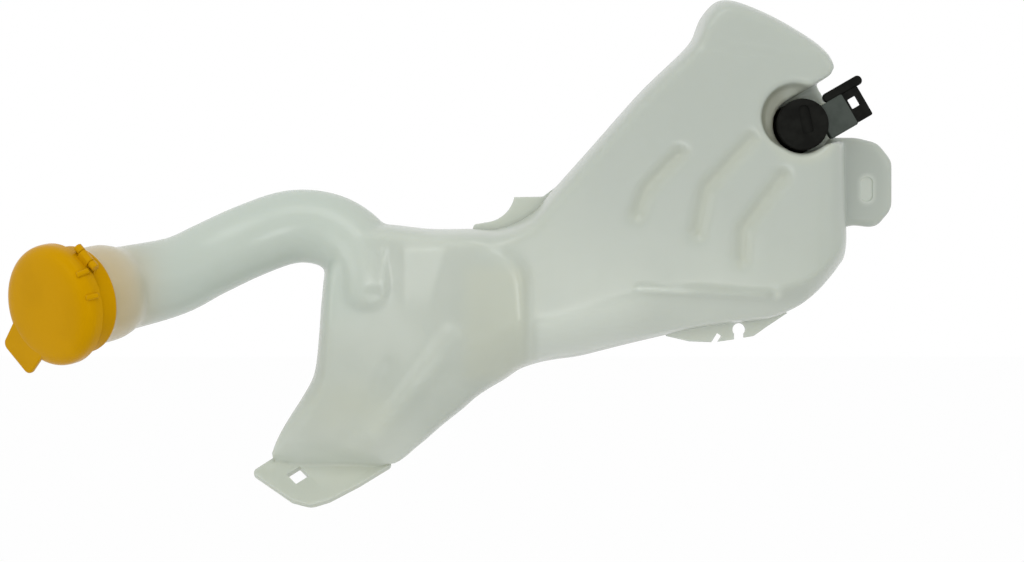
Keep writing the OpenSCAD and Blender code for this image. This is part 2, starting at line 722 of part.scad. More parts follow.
// End cap with the plug socket, its latch loop and the guide rail
module end_cap() {
    roof = pump_top - 2.8;
    depth = plug_high - plug_low;
    color(black) difference() {
        union() {
            at_pump() rotate([0, 0, 200]) rotate_extrude()
                polygon([[0, motor_top], [pump_r, motor_top], [pump_r, pump_top - 1.5], [pump_r - 1.2, pump_top],
                    [0, pump_top]]);
            at_plug() {
                translate([pump_r - 4, plug_mid - 9.1, motor_top]) cube([5, 17.2, plug_high - motor_top]);
                translate([pump_r + 0.2, plug_mid - 10.3, plug_low]) cube([plug_tip - pump_r - 0.2, 18.7, depth]);
                translate([plug_tip - 0.5, plug_mid - 9.7, plug_high - 4]) cube([9.5, 17.2, 4]);
                translate([plug_tip - 8, plug_mid + 7.8, plug_high - 6]) cube([21.5, 5.2, 5]);
            }
        }
        at_pump() {
            rotate([0, 0, 200]) rotate_extrude()
                polygon([[0, motor_top - 1], [pump_r - 1.6, motor_top - 1], [pump_r - 1.6, roof],
                    [bush_r + 1.8, roof], [bush_r + 1.8, roof - 4.2], [bush_r + slide, roof - 4.2],
                    [bush_r + slide, roof + 0.1], [0, roof + 0.1]]);
            translate([-3, -2.2, pump_top - 1.2]) cube([6, 12.6, 3]);
        }
        at_plug() {
            translate([plug_tip - 10, plug_mid - 7, plug_low + 1.6]) cube([12, 13.8, depth - 3.2]);
            translate([plug_tip + 0.2, plug_mid - 2.2, plug_high - 5]) cube([6, 6.4, 8]);
            for (side = [-1, 1])
                translate([blade_root - 0.6, plug_mid + side * 4.4 - 1.45, blade_z - 0.45])
                    cube([plug_tip - 7 - blade_root, 2.9, 0.9]);
        }
    }
}

tank();
filler_collar();
clip_flange();
cap_ring();
cap_lid();
pump_grommet();
inlet_strainer();
pump_volute();
volute_seal();
motor_housing();
flux_ring();
magnet_upper();
magnet_lower();
armature_core();
armature_windings();
commutator();
motor_shaft();
front_bush();
rear_bush();
shaft_seal();
impeller();
brush_plate();
brush_left();
brush_right();
brush_spring_left();
brush_spring_right();
terminal_left();
terminal_right();
end_cap();
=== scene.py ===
import bmesh
import bpy
import numpy as np
from mathutils import Matrix, Vector


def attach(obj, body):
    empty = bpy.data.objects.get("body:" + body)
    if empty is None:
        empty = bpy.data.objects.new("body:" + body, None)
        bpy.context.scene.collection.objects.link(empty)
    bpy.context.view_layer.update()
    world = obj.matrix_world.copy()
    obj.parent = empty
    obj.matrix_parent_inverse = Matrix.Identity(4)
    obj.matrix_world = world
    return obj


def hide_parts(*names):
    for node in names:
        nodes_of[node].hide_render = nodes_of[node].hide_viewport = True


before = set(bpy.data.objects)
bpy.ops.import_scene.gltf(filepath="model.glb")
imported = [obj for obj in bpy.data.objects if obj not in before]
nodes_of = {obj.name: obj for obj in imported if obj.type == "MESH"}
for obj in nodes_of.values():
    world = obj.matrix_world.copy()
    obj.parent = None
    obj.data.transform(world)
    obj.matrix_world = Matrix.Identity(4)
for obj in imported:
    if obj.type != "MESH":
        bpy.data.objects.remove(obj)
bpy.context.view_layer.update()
scene = bpy.context.scene

# Studio
# The part hangs level before the camera in a plain white room, with a pale floor well below it.
# A soft lamp stands above and in front, a weaker one on each side, and the strongest low in front.
scene.view_settings.view_transform = "Standard"
camera_data = bpy.data.cameras.new("camera")
camera_data.lens = 70.0
camera_data.sensor_width = 36.0
camera_data.clip_end = 20.0
camera = bpy.data.objects.new("camera", camera_data)
camera.location = (0.1198, -1.115, 0.1098)
camera.rotation_euler = (np.pi / 2, 0.0, 0.0)
scene.collection.objects.link(camera)
scene.camera = camera


def seen_directly(tree):
    """Mask that is 1 for camera, glossy and transmission rays: the largest of the three Light Path flags."""
    path = tree.nodes.new("ShaderNodeLightPath")
    mirror = tree.nodes.new("ShaderNodeMath")
    mirror.operation = "MAXIMUM"
    tree.links.new(path.outputs["Is Camera Ray"], mirror.inputs[0])
    tree.links.new(path.outputs["Is Glossy Ray"], mirror.inputs[1])
    clear = tree.nodes.new("ShaderNodeMath")
    clear.operation = "MAXIMUM"
    tree.links.new(mirror.outputs[0], clear.inputs[0])
    tree.links.new(path.outputs["Is Transmission Ray"], clear.inputs[1])
    return clear.outputs[0]


ROOM_LIGHT = 0.85
room = bpy.data.worlds.new("white_room")
room.use_nodes = True
scene.world = room
tree = room.node_tree
tree.nodes.clear()
dim = tree.nodes.new("ShaderNodeBackground")
dim.inputs["Color"].default_value = (0.98, 0.99, 1.0, 1.0)
dim.inputs["Strength"].default_value = ROOM_LIGHT
white = tree.nodes.new("ShaderNodeBackground")
white.inputs["Color"].default_value = (1.0, 1.0, 1.0, 1.0)
white.inputs["Strength"].default_value = 1.0
pick = tree.nodes.new("ShaderNodeMixShader")
sky = tree.nodes.new("ShaderNodeOutputWorld")
tree.links.new(seen_directly(tree), pick.inputs[0])
tree.links.new(dim.outputs[0], pick.inputs[1])
tree.links.new(white.outputs[0], pick.inputs[2])
tree.links.new(pick.outputs[0], sky.inputs["Surface"])

FLOOR_LEVEL = -0.16
FLOOR_CORNERS = ((-4, -4), (4, -4), (4, 6), (-4, 6))
FLOOR_VEIL = 0.97
floor_mesh = bpy.data.meshes.new("floor")
floor_mesh.from_pydata([(x, y, FLOOR_LEVEL) for x, y in FLOOR_CORNERS], [], [(0, 1, 2, 3)])
floor = bpy.data.objects.new("floor", floor_mesh)
scene.collection.objects.link(floor)
floor_paint = bpy.data.materials.new("pale_floor")
floor_paint.use_nodes = True
tree = floor_paint.node_tree
tree.nodes.clear()
matt = tree.nodes.new("ShaderNodeBsdfDiffuse")
matt.inputs["Color"].default_value = (0.8, 0.8, 0.8, 1.0)
glow = tree.nodes.new("ShaderNodeEmission")
glow.inputs["Color"].default_value = (1.0, 1.0, 1.0, 1.0)
glow.inputs["Strength"].default_value = 1.0
most = tree.nodes.new("ShaderNodeMath")
most.operation = "MULTIPLY"
most.inputs[1].default_value = FLOOR_VEIL
veil = tree.nodes.new("ShaderNodeMixShader")
top_coat = tree.nodes.new("ShaderNodeOutputMaterial")
tree.links.new(seen_directly(tree), most.inputs[0])
tree.links.new(most.outputs[0], veil.inputs[0])
tree.links.new(matt.outputs[0], veil.inputs[1])
tree.links.new(glow.outputs[0], veil.inputs[2])
tree.links.new(veil.outputs[0], top_coat.inputs["Surface"])
floor_mesh.materials.append(floor_paint)

# Place and width in metres and power in watts of each lamp.
LAMPS = {
    "lamp_above": ((0.0, -0.75, 1.15), 0.55, 1.9),
    "lamp_left": ((-0.9, -0.9, 0.35), 0.6, 1.5),
    "lamp_right": ((1.1, -0.8, 0.5), 0.6, 0.5),
    "lamp_low": ((0.15, -1.2, -0.13), 0.5, 3.3)}
LAMP_AIM = Vector((0.11, 0.0, 0.11))
for lamp_name, (place, size, watts) in LAMPS.items():
    lamp_data = bpy.data.lights.new(lamp_name, "AREA")
    lamp_data.size = size
    lamp_data.energy = watts
    lamp = bpy.data.objects.new(lamp_name, lamp_data)
    lamp.location = place
    lamp.rotation_euler = (LAMP_AIM - Vector(place)).to_track_quat("-Z", "Y").to_euler()
    scene.collection.objects.link(lamp)

# Tank body
# The tank is blown in one piece from milky polyethylene. Its skin runs over sections from the foot up
# the leg and through the main chamber. The leg ends in a raised panel, and three bent grooves stiffen
# the chamber.
MM = 0.001
SQUARE = 10 * MM
# Each section runs from its upper edge to its lower edge: x and z of both, in squares.
SECTIONS = np.array([
    (-1.6, 1.2, 5.4, 0.7),
    (-1.1, 2.3, 6, 1.1),
    (-0.45, 3.4, 6.55, 1.6),
    (0.35, 4.65, 7.05, 2),
    (0.95, 5.9, 7.5, 2.4),
    (1.2, 7.95, 7.95, 2.8),
    (1.35, 9.9, 8.5, 3.25),
    (1.7, 12.15, 9.2, 3.8),
    (2.9, 13.9, 10, 4.5),
    (4.9, 14.15, 10.75, 5),
    (7.4, 13.9, 11.6, 5.5),
    (9.6, 13.9, 12.4, 6.05),
    (11.3, 13.9, 13.4, 6.4),
    (13, 14.7, 14.4, 6.6),
    (14.2, 16, 15.8, 6.8),
    (16.35, 18.4, 18, 7.35),
    (19.15, 21.55, 20.3, 7.9),
    (21.8, 24.15, 22.3, 8.35),
    (22.6, 25.8, 24.1, 8.6),
    (23.7, 26.6, 25, 8.7),
    (25.85, 25.9, 26.3, 8.9),
    (28.05, 24.65, 27.7, 9.5),
    (29.15, 23.75, 28.75, 10.3),
    (29.6, 22.8, 29.6, 11.2),
    (29.9, 21.4, 30.1, 11.8),
    (30.2, 20, 30.35, 12.05),
    (30.35, 19.2, 30.4, 12.3)])
# One value for each section: depth of the leg, the chamber and the back in millimetres, the share of the
# flat bevel, and the rounding of the lower edge.
LEG_DEPTH = np.array([-2, 6.5, 13.6, 18, 20.5, 22, 23, 24, 25.5, 29, 35.5, 42, 46] + 14 * [47])
CHAMBER_DEPTH = np.array(10 * [45] + [43, 42] + 10 * [41.5] + [41, 37.5, 31.5, 23, 9])
BACK_DEPTH = 43.9 * np.array([0.3, 0.38, 0.45, 0.5, 0.55, 0.6, 0.64, 0.66, 0.68, 0.72, 0.78, 0.86, 0.93]
                           + 9 * [1] + [0.98, 0.89, 0.75, 0.55, 0.22])
CREASE = np.array(3 * [0.2] + 6 * [0.5] + 4 * [0.3] + [0, 0, 0.05, 0.5] + 5 * [0.9]
                  + [0.7, 0.5, 0.3, 0.2, 0.1])
UPPER_ROUND = 10 * MM
LOWER_ROUND = MM * np.array(14 * [26] + [28, 30, 28, 24, 20, 18, 16] + 6 * [14])
BACK_ROUND = 15.6 * MM
PANEL_RIGHT = 127 * MM
PANEL_TOP = 126.5 * MM
PANEL_CORNER = 20 * MM
PANEL_EDGE = 3.5 * MM
GROOVES = SQUARE * np.array([
    ((21.0, 17.8), (19.3, 16.0), (18.75, 14.6)),
    ((24.9, 18.6), (22.5, 16.0), (22.0, 13.6)),
    ((26.6, 16.6), (24.5, 13.8), (24.4, 12.2))])
LEG_RIDGE = SQUARE * np.array([(8.6, 7.9), (4.5, 2.4)])
LEG_FOLD = SQUARE * np.array([(5.2, 6.4), (3.0, 2.2)])
GROOVE_DEPTH = 3.2 * MM
GROOVE_HALF = 5.4 * MM
RIDGE_HALF = 9 * MM
FOLD_HALF = 6 * MM
FACET_FOOT = MM * np.array((74, 95))
FACET_SLOPE = 0.29
LEDGE_LEFT = MM * np.array((217, 239))
LEDGE_SLOPE = 0.065
LEDGE_STEP = 1.2 * MM
LEDGE_LEAN = 0.12
STEPS_A_SECTION = 9
# Heights of the small reliefs, in millimetres.
FACET_RISE = 1.3
RIDGE_RISE = 2.4
FOLD_DROP = 0.8


def spline(rows, u):
    """Smooth curve through rows at station u: a cubic between two rows, whose slope at each row is half the
    step between its neighbours."""
    rows = np.asarray(rows, float)
    last = len(rows) - 1
    i = np.clip(np.floor(u).astype(int), 0, last - 1)
    t = (u - i)[:, None]
    a, b, c, d = rows[np.maximum(i - 1, 0)], rows[i], rows[i + 1], rows[np.minimum(i + 2, last)]
    cubic = (3 * b - a - 3 * c + d) * t ** 3
    return 0.5 * (2 * b + (c - a) * t + (2 * a - 5 * b + 4 * c - d) * t ** 2 + cubic)


def ease(low, high, x):
    """Smooth rise from 0 at low to 1 at high: 3t squared less 2t cubed."""
    t = np.clip((x - low) / (high - low), 0, 1)
    return t * t * (3 - 2 * t)


def peak(distance, half):
    """Straight-sided hump: 1 less the distance over the half width, and 0 beyond it."""
    return np.clip(1 - distance / half, 0, 1)


def swell(distance, half):
    """Round hump: 1 less the square of the distance over the half width, to the power 1.5."""
    return np.clip(1 - (distance / half) ** 2, 0, 1) ** 1.5


def half_section(length, upper, lower, crease, steps, runs):
    """Distance from the top point and share of the depth: a quarter ellipse at the top edge, a straight run,
    then a lower edge between a quarter ellipse and a flat bevel with a lip, by the crease. The two edges
    together take at most nine tenths of the section."""
    lip_turn, lip_fall, lip_depth = 0.3, 0.1, 0.62
    fit = np.minimum(1.0, 0.9 * length / (upper + lower))[:, None]
    top, foot, run = upper[:, None] * fit, lower[:, None] * fit, length[:, None]
    turn = np.linspace(0, 1, steps + 1)[None, :]
    mid = np.linspace(0, 1, runs + 1)[1:-1][None, :]
    back = turn[:, ::-1]
    lip = np.minimum(back / lip_turn, 1)
    slope = np.clip((back - lip_turn) / (1 - lip_turn), 0, 1)
    bevel_fall = lip_fall * lip ** 2 + (1 - lip_fall) * slope
    bevel_depth = lip_depth * lip + (1 - lip_depth) * slope
    fall = (1 - crease) * (1 - np.cos(np.pi / 2 * back)) + crease * bevel_fall
    depth = (1 - crease) * np.sin(np.pi / 2 * back) + crease * bevel_depth
    distance = np.hstack([top * (1 - np.cos(np.pi / 2 * turn)), top + (run - foot - top) * mid,
                          run - foot * fall])
    flat = np.ones((len(length), runs - 1))
    return distance, np.hstack([np.repeat(np.sin(np.pi / 2 * turn), len(length), axis=0), flat, depth])


def near_line(x, z, line):
    """Distance in X and Z from each point to a bent line: the least distance to one of its straight runs."""
    best = np.full(x.shape, 1.0)
    for (ax, az), (bx, bz) in zip(line[:-1], line[1:]):
        run, rise = bx - ax, bz - az
        t = np.clip(((x - ax) * run + (z - az) * rise) / (run ** 2 + rise ** 2), 0, 1)
        best = np.minimum(best, np.hypot(x - ax - t * run, z - az - t * rise))
    return best


def skin(rings):
    """Vertices and faces over a row of closed rings: quads between rings and a flat face at each end."""
    m, n, _ = rings.shape
    i, j = np.meshgrid(np.arange(m - 1), np.arange(n), indexing="ij")
    k = (j + 1) % n
    quads = np.stack([i * n + j, i * n + k, (i + 1) * n + k, (i + 1) * n + j], axis=-1).reshape(-1, 4)
    ends = [list(range(n))[::-1], list(range((m - 1) * n, m * n))]
    return rings.reshape(-1, 3), quads.tolist() + ends


def piece(name, *shells):
    """One mesh object from several shells, each a pair of vertices and faces."""
    points, faces, start = [], [], 0
    for shell_points, shell_faces in shells:
        points.append(shell_points)
        faces += [[start + v for v in face] for face in shell_faces]
        start += len(shell_points)
    mesh = bpy.data.meshes.new(name)
    mesh.from_pydata(np.vstack(points).tolist(), [], faces)
    mesh.update()
    obj = bpy.data.objects.new(name, mesh)
    scene.collection.objects.link(obj)
    return obj


def settle(obj):
    """Applies the object's modifiers to its mesh and shades it smooth."""
    bpy.context.view_layer.update()
    graph = bpy.context.evaluated_depsgraph_get()
    mesh = bpy.data.meshes.new_from_object(obj.evaluated_get(graph), depsgraph=graph)
    obj.modifiers.clear()
    old = obj.data
    obj.data = mesh
    bpy.data.meshes.remove(old)
    mesh.polygons.foreach_set("use_smooth", np.ones(len(mesh.polygons), bool))


def shade_by_angle(obj, degrees):
    """Shades smooth, with a sharp edge where two faces meet at more than the angle."""
    obj.data.polygons.foreach_set("use_smooth", np.ones(len(obj.data.polygons), bool))
    obj.data.set_sharp_from_angle(angle=np.radians(degrees))


def carve(obj, *shells):
    """Cuts closed shells out of the object, one after the other."""
    for shell in shells:
        cutter = piece("cutter", shell)
        cut = obj.modifiers.new("cut", "BOOLEAN")
        cut.operation = "DIFFERENCE"
        cut.solver = "MANIFOLD"
        cut.object = cutter
        settle(obj)
        bpy.data.objects.remove(cutter)


def vertex_places(obj):
    """Places of the object's vertices, one row each."""
    places = np.empty(3 * len(obj.data.vertices))
    obj.data.vertices.foreach_get("co", places)
    return places.reshape(-1, 3)


last_section = len(SECTIONS) - 1
station = np.linspace(0, last_section, STEPS_A_SECTION * last_section + 1)
row = spline(SECTIONS * SQUARE, station)
leg_y, chamber_y, back_y, crease, lower = (spline(c[:, None], station) for c in (
    LEG_DEPTH * MM, CHAMBER_DEPTH * MM, BACK_DEPTH * MM, CREASE, LOWER_ROUND))
length = np.linalg.norm(row[:, 2:] - row[:, :2], axis=1)
across = (row[:, 2:] - row[:, :2]) / length[:, None]
upper_edge = np.full(len(length), UPPER_ROUND)
back_edge = np.full(len(length), BACK_ROUND)
fore, fore_rise = half_section(length, upper_edge, lower[:, 0], crease, steps=14, runs=56)
aft, aft_rise = half_section(length, back_edge, back_edge, 0 * crease, steps=12, runs=44)
fore_x, fore_z = (row[:, None, k] + across[:, None, k] * fore for k in (0, 1))
aft_x, aft_z = (row[:, None, k] + across[:, None, k] * aft for k in (0, 1))
out_x, out_z = fore_x - PANEL_RIGHT + PANEL_CORNER, fore_z - PANEL_TOP + PANEL_CORNER
past_panel = (np.hypot(np.maximum(out_x, 0), np.maximum(out_z, 0))
              + np.minimum(np.maximum(out_x, out_z), 0) - PANEL_CORNER)
panel = 1 - ease(-PANEL_EDGE, PANEL_EDGE, past_panel)
depth = panel * leg_y + (1 - panel) * np.minimum(leg_y, chamber_y)
dent = sum(swell(near_line(fore_x, fore_z, line), GROOVE_HALF) for line in GROOVES)
depth = depth - GROOVE_DEPTH * np.clip(dent, 0, 1)

# A facet beside the neck, a ridge and a fold down the leg, and a ledge below the top of the chamber.
facet_right = FACET_FOOT[0] + (fore_z - FACET_FOOT[1]) * FACET_SLOPE
facet = (ease(60 * MM, 62 * MM, fore_x) * (1 - ease(-2 * MM, 2 * MM, fore_x - facet_right))
         * ease(92 * MM, 110 * MM, fore_z) * (1 - ease(127 * MM, 129.5 * MM, fore_z)))
ledge_z = LEDGE_LEFT[1] - (fore_x - LEDGE_LEFT[0]) * LEDGE_SLOPE
above = ease(-1.5 * MM, 1.5 * MM, fore_z - ledge_z) * ease(200 * MM, 215 * MM, fore_x)
ridge = swell(near_line(fore_x, fore_z, LEG_RIDGE), RIDGE_HALF)
fold = swell(near_line(fore_x, fore_z, LEG_FOLD), FOLD_HALF)
ledge_drop = LEDGE_STEP + LEDGE_LEAN * (fore_z - ledge_z)
depth = depth + MM * (FACET_RISE * facet + RIDGE_RISE * ridge - FOLD_DROP * fold) - above * ledge_drop
front_rings = np.stack([fore_x, -depth * fore_rise, fore_z], axis=-1)
back_rings = np.stack([aft_x, back_y * aft_rise, aft_z], axis=-1)[:, -2:0:-1]
tank = piece("tank_skin", skin(np.concatenate([front_rings, back_rings], axis=1)))

# Pump pocket
# The pocket is blown into the right end of the tank. It is round about the pump, with a flared lip, and is
# open to the right, where the plug socket and the outlet come out.
PUMP_HUB = MM * np.array((277, 10, 194.5))
PUMP_PLACE = Matrix.Translation(PUMP_HUB) @ Matrix.Rotation(np.pi / 2, 4, "X")
PLUG_PLACE = PUMP_PLACE @ Matrix.Rotation(np.radians(30), 4, "Z")
RIM_SHIFT = MM * np.array((-4.5, 4))
RIM_PLACE = PUMP_PLACE @ Matrix.Translation((*RIM_SHIFT, 0))
CORNER_HUB = np.array((287.5, 230.1))
CORNER_R = 8.5


def turned(profile, sides):
    """Rings of a profile of (radius, height) turned about Z."""
    angle = np.linspace(0, 2 * np.pi, sides, endpoint=False)
    profile = np.asarray(profile, float)
    return np.stack([profile[:, :1] * np.cos(angle), profile[:, :1] * np.sin(angle),
                     np.repeat(profile[:, 1:], sides, axis=1)], axis=-1)


def rounded_outline(corners, steps=8):
    """Outline of corners (x, y, radius): each corner with a radius becomes an arc that meets both sides."""
    corners = np.asarray(corners, float)
    out = []
    for a, b, c in zip(np.roll(corners, 1, 0), corners, np.roll(corners, -1, 0)):
        if b[2] <= 0:
            out.append(b[None, :2])
            continue
        u, v = (a - b)[:2], (c - b)[:2]
        u, v = u / np.hypot(*u), v / np.hypot(*v)
        half = np.arccos(np.clip(u @ v, -1, 1)) / 2
        hub = b[:2] + (u + v) / np.hypot(*(u + v)) * b[2] / np.sin(half)
        p, q = b[:2] + u * b[2] / np.tan(half) - hub, b[:2] + v * b[2] / np.tan(half) - hub
        start = np.arctan2(p[1], p[0])
        sweep = (np.arctan2(q[1], q[0]) - start + np.pi) % (2 * np.pi) - np.pi
        angle = start + sweep * np.linspace(0, 1, steps + 1)
        out.append(hub + b[2] * np.stack([np.cos(angle), np.sin(angle)], axis=-1))
    return np.vstack(out)


def plate(outline, low, high, edge):
    """Rings of a flat plate in X and Y between two heights, its edges rounded by a quarter circle."""
    ahead = np.roll(outline, -1, 0)
    if np.sum(outline[:, 0] * ahead[:, 1] - ahead[:, 0] * outline[:, 1]) < 0:
        outline = outline[::-1]
    along = np.roll(outline, -1, 0) - np.roll(outline, 1, 0)
    normal = np.stack([along[:, 1], -along[:, 0]], axis=-1)
    normal /= np.linalg.norm(normal, axis=1)[:, None]
    turn = np.linspace(0, np.pi / 2, 5)
    fall, rise = edge * (1 - np.sin(turn)), edge * (1 - np.cos(turn))
    pull = np.concatenate([[1.5 * edge], fall, rise, [1.5 * edge]])
    level = np.concatenate([[low], low + rise, high - fall, [high]])
    rings = outline[None] - normal[None] * pull[:, None, None]
    return np.concatenate([rings, np.repeat(level[:, None, None], len(outline), axis=1)], axis=-1)


def block(x0, x1, y0, y1, z0, z1, corner, edge):
    """Rings of a block between two corners, with its upright edges and its rims rounded."""
    flat = rounded_outline([(x0, y0, corner), (x1, y0, corner), (x1, y1, corner), (x0, y1, corner)])
    return plate(flat * MM, z0 * MM, z1 * MM, edge * MM)


def moved(rings, matrix):
    """Rings carried by a 4 by 4 matrix."""
    m = np.array(matrix)
    return rings @ m[:3, :3].T + m[:3, 3]


pocket_wall = MM * np.array([(0.01, 0), (15.4, 0), (15.4, 46), (16.2, 48.8), (18, 51), (21, 53), (27, 56),
                             (27, 80), (0.01, 80)])
rim_recess = MM * np.array([(0.01, 45), (15.4, 45), (17, 46), (17.7, 48), (18.2, 51), (19, 53), (19, 80),
                            (0.01, 80)])
channel_outline = MM * rounded_outline([(-7.75, 13.4, 0), (44.2, 43.4, 0), (44.2, -8, 0), (24, -8, 6),
                                        (13, -10.4, 4), (7.75, -13.4, 0)])
corner_turn = np.radians(np.linspace(-59, 40, 12))
corner_arc = CORNER_HUB + CORNER_R * np.stack([np.cos(corner_turn), np.sin(corner_turn)], axis=-1)
corner_outline = MM * np.vstack([corner_arc, [(297.5, 239), (305, 228), (294.5, 219)]])
corner_rings = np.stack([np.insert(corner_outline, 1, depth_at * MM, axis=1) for depth_at in (-60, 60)])
carve(tank, skin(moved(turned(pocket_wall, 96), PUMP_PLACE)), skin(corner_rings),
      skin(moved(turned(rim_recess, 96), RIM_PLACE)),
      skin(moved(plate(channel_outline, 0, 90 * MM, 0.2 * MM), PUMP_PLACE)),
      skin(moved(block(26, 85, -15.5, 15.5, -70, 20, 0.5, 0.2), PLUG_PLACE)))

# Neck, collar, foot and lug
# These are blown with the tank: a bent neck tube that swells out of the shoulder and ends in a round
# collar, a flat foot plate that leans forward, and a lug that locates the right end.
NECK_R = 20.5 * MM
MOUTH = np.array((-116.0, -76.0, 98.0)) * MM
MOUTH_PLACE = (Matrix.Translation(MOUTH) @ Matrix.Rotation(np.radians(235), 4, "Z")
               @ Matrix.Rotation(np.radians(100), 4, "Y") @ Matrix.Rotation(np.radians(-45), 4, "Z"))
mouth_axis = np.array(MOUTH_PLACE)[:3, 2]
NECK_JOINT = 38.5 * MM
NECK_FLARE = 2.4 * MM
NECK_ROOT = 0.85
neck_path = np.vstack([
    MM * np.array([(41.4, -6, 97), (41, -8.7, 106), (39, -8.5, 119), (30, -4.5, 131), (15, -1, 139),
                   (-4.5, 0, 140), (-27, -3, 132.2), (-48, -11, 121.8), (-66, -23, 112.3)]),
    [MOUTH - (NECK_JOINT + 1 * MM) * mouth_axis, MOUTH - (NECK_JOINT - 7 * MM) * mouth_axis]])
collar_profile = MM * np.array([(21.2, -48.4), (21.3, -48), (22.3, -44.5), (25, -36.5), (25.8, -33),
                                (26, -30), (26, -15.6), (27, -15), (27, -13.6), (26, -13.4), (26, 5.2),
                                (25.4, 6)])
FOOT_LEAN = np.radians(46)
FOOT_PLACE = Matrix.Rotation(FOOT_LEAN, 4, "X")
FOOT_HALF = 1.8 * MM
WEB_HALF = 1.5 * MM
foot_outline = MM * rounded_outline([(-26.5, 2.5, 3), (-2, -17.5, 6), (9, -21, 9), (19, -17, 7),
                                     (35, -6, 12), (53, 8.5, 3), (48, 14.5, 2), (-13, 14.5, 2)])
web_outline = MM * rounded_outline([(-21, 2.5, 3), (-2, -14, 5), (9, -17, 7), (18, -13.5, 6), (33, -3, 10),
                                    (52, 9, 2), (48, 14, 2), (-11, 13, 2)])
heel_outline = MM * np.array([(5, 7.9), (3.6, 7.8), (1.4, 9.2), (-1, 12), (-4.6, 17.4), (-7.4, 21), (12, 21),
                              (12.5, 11)])
HEEL_HUB = MM * np.array((6, 10))
HEEL_SHARES = ((-15.5, 0.2), (-9, 0.55), (-1, 1), (42, 1), (48, 0.7), (53.5, 0.25))
PARTING_PLACE = Matrix.Rotation(np.pi / 2, 4, "X")
LUG_HALF = 5.8 * MM
lug_outline = MM * rounded_outline([(296, 190, 0), (312, 190, 4), (324, 187, 9), (332, 177, 8),
                                    (332, 150, 10), (323, 139.5, 7), (311, 141, 6), (296, 138, 0)])


def tube(path, station, radius, sides):
    """Round rings of given radius along a smooth path, each square to the path."""
    centre = spline(path, station)
    along = spline(path, station + 0.05) - spline(path, station - 0.05)
    along /= np.linalg.norm(along, axis=1)[:, None]
    side = np.cross(along, (0, 1, 0.2))
    side /= np.linalg.norm(side, axis=1)[:, None]
    up = np.cross(along, side)
    angle = np.linspace(0, 2 * np.pi, sides, endpoint=False)[None, :, None]
    spoke = side[:, None] * np.cos(angle) + up[:, None] * np.sin(angle)
    return centre[:, None] + radius[:, None, None] * spoke


neck_station = np.concatenate([np.linspace(0.02, 1, 12), np.linspace(1, len(neck_path) - 1, 120)[1:]])
neck_radius = NECK_R * np.sqrt(np.clip(1 - (1 - np.clip(neck_station, 0, 1)) ** 2 * NECK_ROOT, 0, 1))
neck_radius += NECK_FLARE * ease(7.2, 9.2, neck_station)
neck_shell = skin(tube(neck_path, neck_station, neck_radius, 64))
collar_shell = skin(moved(turned(collar_profile, 96), MOUTH_PLACE))
heel_rings = [HEEL_HUB + share * (heel_outline - HEEL_HUB) for _, share in HEEL_SHARES]
heel_shell = skin(np.stack([np.insert(ring, 0, x * MM, axis=1)
                            for ring, (x, _) in zip(heel_rings, HEEL_SHARES)]))
lug_shell = skin(moved(plate(lug_outline, -LUG_HALF, LUG_HALF, 3 * MM), PARTING_PLACE))
web_shell = skin(moved(plate(web_outline, -WEB_HALF, WEB_HALF, 0.5 * MM), FOOT_PLACE))
fittings = piece("fittings", neck_shell, collar_shell, heel_shell, web_shell, lug_shell)
joined = bmesh.new()
joined.from_mesh(tank.data)
joined.from_mesh(fittings.data)
joined.to_mesh(tank.data)
joined.free()
bpy.data.objects.remove(fittings)
blown = tank.modifiers.new("blown", "REMESH")
blown.mode = "VOXEL"
blown.voxel_size = 1.5 * MM
relaxed = tank.modifiers.new("relaxed", "SMOOTH")
relaxed.factor = 0.5
relaxed.iterations = 9
settle(tank)

# Fine relief of the mould: the chamber's crease and a round dot, the fold beside the neck and a dimple at
# its foot, and a shallow line below the top of the chamber.
CREASE_LINE = SQUARE * np.array([(18.8, 10.55), (25.6, 10.15)])
NECK_FOLD = SQUARE * np.array([(5.0, 10.4), (5.0, 12.6)])
MOULD_DOT = SQUARE * np.array((26.35, 10.2))
HEAD_LINE = SQUARE * np.array([(21.6, 23.8), (26.1, 23.3)])
NECK_DIMPLE = MM * np.array((44.6, 102.7))
FRONT_FACE = -15 * MM
spot = vertex_places(tank)
x, y, z = spot.T
from_dot = np.hypot(x - MOULD_DOT[0], z - MOULD_DOT[1])
from_neck_dimple = np.hypot((x - NECK_DIMPLE[0]) / 8, (z - NECK_DIMPLE[1]) / 5)
raised = (peak(near_line(x, z, CREASE_LINE), 2.6 * MM) + peak(near_line(x, z, NECK_FOLD), 3 * MM)
          + 1.4 * peak(from_dot, 4.5 * MM))
pressed = peak(from_neck_dimple, MM) + 0.5 * peak(near_line(x, z, HEAD_LINE), 4 * MM)
spot[:, 1] += np.where(y < FRONT_FACE, MM * (1.4 * pressed - raised), 0)
tank.data.vertices.foreach_set("co", spot.ravel())
tank.data.update()

